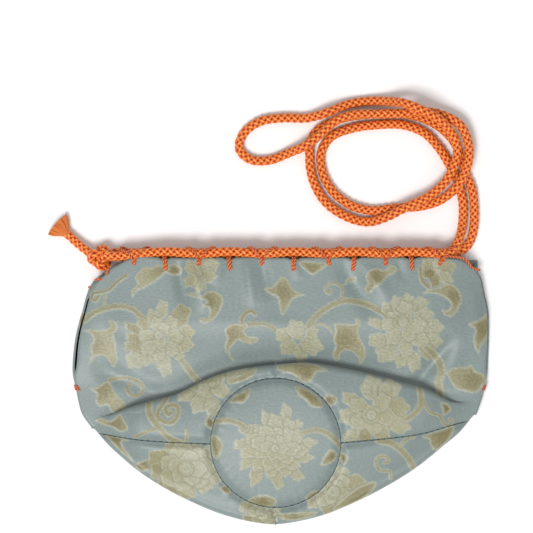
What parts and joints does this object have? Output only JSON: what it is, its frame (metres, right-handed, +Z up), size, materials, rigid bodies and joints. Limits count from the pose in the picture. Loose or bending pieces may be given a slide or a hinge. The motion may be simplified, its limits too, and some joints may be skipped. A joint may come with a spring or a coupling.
{
  "type": "tea caddy pouch",
  "caption": "Silk brocade shifuku pouch for a flat wide tea caddy, laid flat with its round base folded forward and its doubled cord coiled beyond the mouth",
  "frame": {"origin": "on the floor under the middle of the flat back wall, where the rest_face mount is", "axes": "X along the mouth, from the knot to the cord's loop; Y from the folded base towards the mouth; Z up, out of the front wall"},
  "size_m": [0.1482, 0.1431, 0.0112],
  "materials": {
    "brocade": "pale blue-grey silk brocade with a cream and old-gold peony arabesque, soft sheen",
    "wadding": "matt undyed wadding, hidden between the cloths",
    "lining_silk": "plain thin silk, soft sheen",
    "cord_silk": "tightly braided orange silk, soft sheen",
    "loop_thread": "twisted orange-red silk thread, soft sheen",
    "seam_thread": "fine dark blue sewing silk",
    "tuft_silk": "loose orange silk floss, unbraided"
  },
  "bodies": {
    "pouch": {"outer_back": "brocade", "wadding_back": "wadding", "lining_back": "lining_silk", "outer_front": "brocade", "wadding_front": "wadding", "lining_front": "lining_silk", "outer_base": "brocade", "wadding_base": "wadding", "lining_base": "lining_silk", "base_seam_thread": "seam_thread", "side_seam_thread_left": "seam_thread", "side_seam_thread_right": "seam_thread", "dart_thread_front": "seam_thread", "dart_thread_back": "seam_thread", "slit_stitch_left": "loop_thread", "slit_stitch_right": "loop_thread", "mouth_cord_back": "cord_silk", "mouth_loops_back": "loop_thread", "draw_cord_loop": "cord_silk", "end_knot": "cord_silk"},
    "mouth_flap": {"outer_front_flap": "brocade", "wadding_front_flap": "wadding", "lining_front_flap": "lining_silk", "mouth_cord_front": "cord_silk", "mouth_loops_front": "loop_thread"},
    "tail": {"cord_tail": "cord_silk", "end_tuft": "tuft_silk"}
  },
  "joints": [
    {"name": "mouth_open", "type": "hinge", "parent": "pouch", "child": "mouth_flap", "pos_m": [0, 0.0117, 0.00539], "axis": [1, 0, 0], "range_deg": [0, 25]},
    {"name": "tail_swing", "type": "hinge", "parent": "pouch", "child": "tail", "pos_m": [-0.0643, 0.0464, 0.0039], "axis": [0, 0, 1], "range_deg": [-30, 30]}
  ]
}
